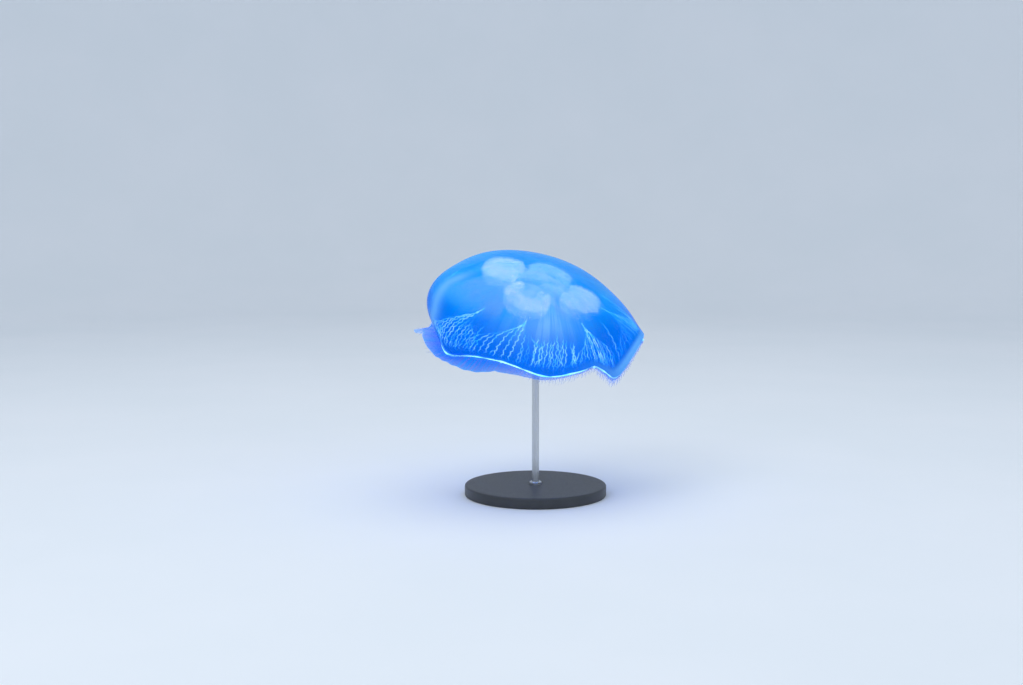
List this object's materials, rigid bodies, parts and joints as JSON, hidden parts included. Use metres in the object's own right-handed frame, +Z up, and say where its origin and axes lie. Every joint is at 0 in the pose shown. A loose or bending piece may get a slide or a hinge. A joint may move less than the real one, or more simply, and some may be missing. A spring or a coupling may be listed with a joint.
{
  "type": "moon jellyfish display model",
  "caption": "Life-size moon jellyfish in mid pulse, leaning on a steel rod and round base; clear bell, four gonads, four oral arms, fringe of tentacles.",
  "frame": {"origin": "centre of the stand's base plate, on its underside", "axes": "+Z up; the animal leans its top towards -Y (the viewer) and +X, and the tucked side of the bell is at -X"},
  "size_m": [0.2575, 0.2543, 0.2745],
  "materials": {
    "bell_jelly": "wet clear jelly, azure",
    "gonad_tissue": "milky, soft sheen",
    "mouth_tissue": "milky blue",
    "arm_tissue": "milky blue, frilled",
    "tentacle_tissue": "fine pale threads",
    "stand_steel": "satin black powder coat"
  },
  "bodies": {
    "root": {"bell_crown": "bell_jelly", "bell_lappet_1": "bell_jelly", "bell_lappet_2": "bell_jelly", "bell_lappet_3": "bell_jelly", "bell_lappet_4": "bell_jelly", "bell_lappet_5": "bell_jelly", "bell_lappet_6": "bell_jelly", "bell_lappet_7": "bell_jelly", "bell_lappet_8": "bell_jelly", "gonad_1": "gonad_tissue", "gonad_2": "gonad_tissue", "gonad_3": "gonad_tissue", "gonad_4": "gonad_tissue", "mouth_tube": "mouth_tissue", "oral_arm_1_base": "arm_tissue", "oral_arm_1_middle": "arm_tissue", "oral_arm_1_tip": "arm_tissue", "oral_arm_2_base": "arm_tissue", "oral_arm_2_middle": "arm_tissue", "oral_arm_2_tip": "arm_tissue", "oral_arm_3_base": "arm_tissue", "oral_arm_3_middle": "arm_tissue", "oral_arm_3_tip": "arm_tissue", "oral_arm_4_base": "arm_tissue", "oral_arm_4_middle": "arm_tissue", "oral_arm_4_tip": "arm_tissue", "tentacle_fringe_1": "tentacle_tissue", "tentacle_fringe_2": "tentacle_tissue", "tentacle_fringe_3": "tentacle_tissue", "tentacle_fringe_4": "tentacle_tissue", "tentacle_fringe_5": "tentacle_tissue", "tentacle_fringe_6": "tentacle_tissue", "tentacle_fringe_7": "tentacle_tissue", "tentacle_fringe_8": "tentacle_tissue", "stand_base": "stand_steel", "stand_pad": "stand_steel", "stand_rod": "stand_steel"}
  },
  "joints": []
}
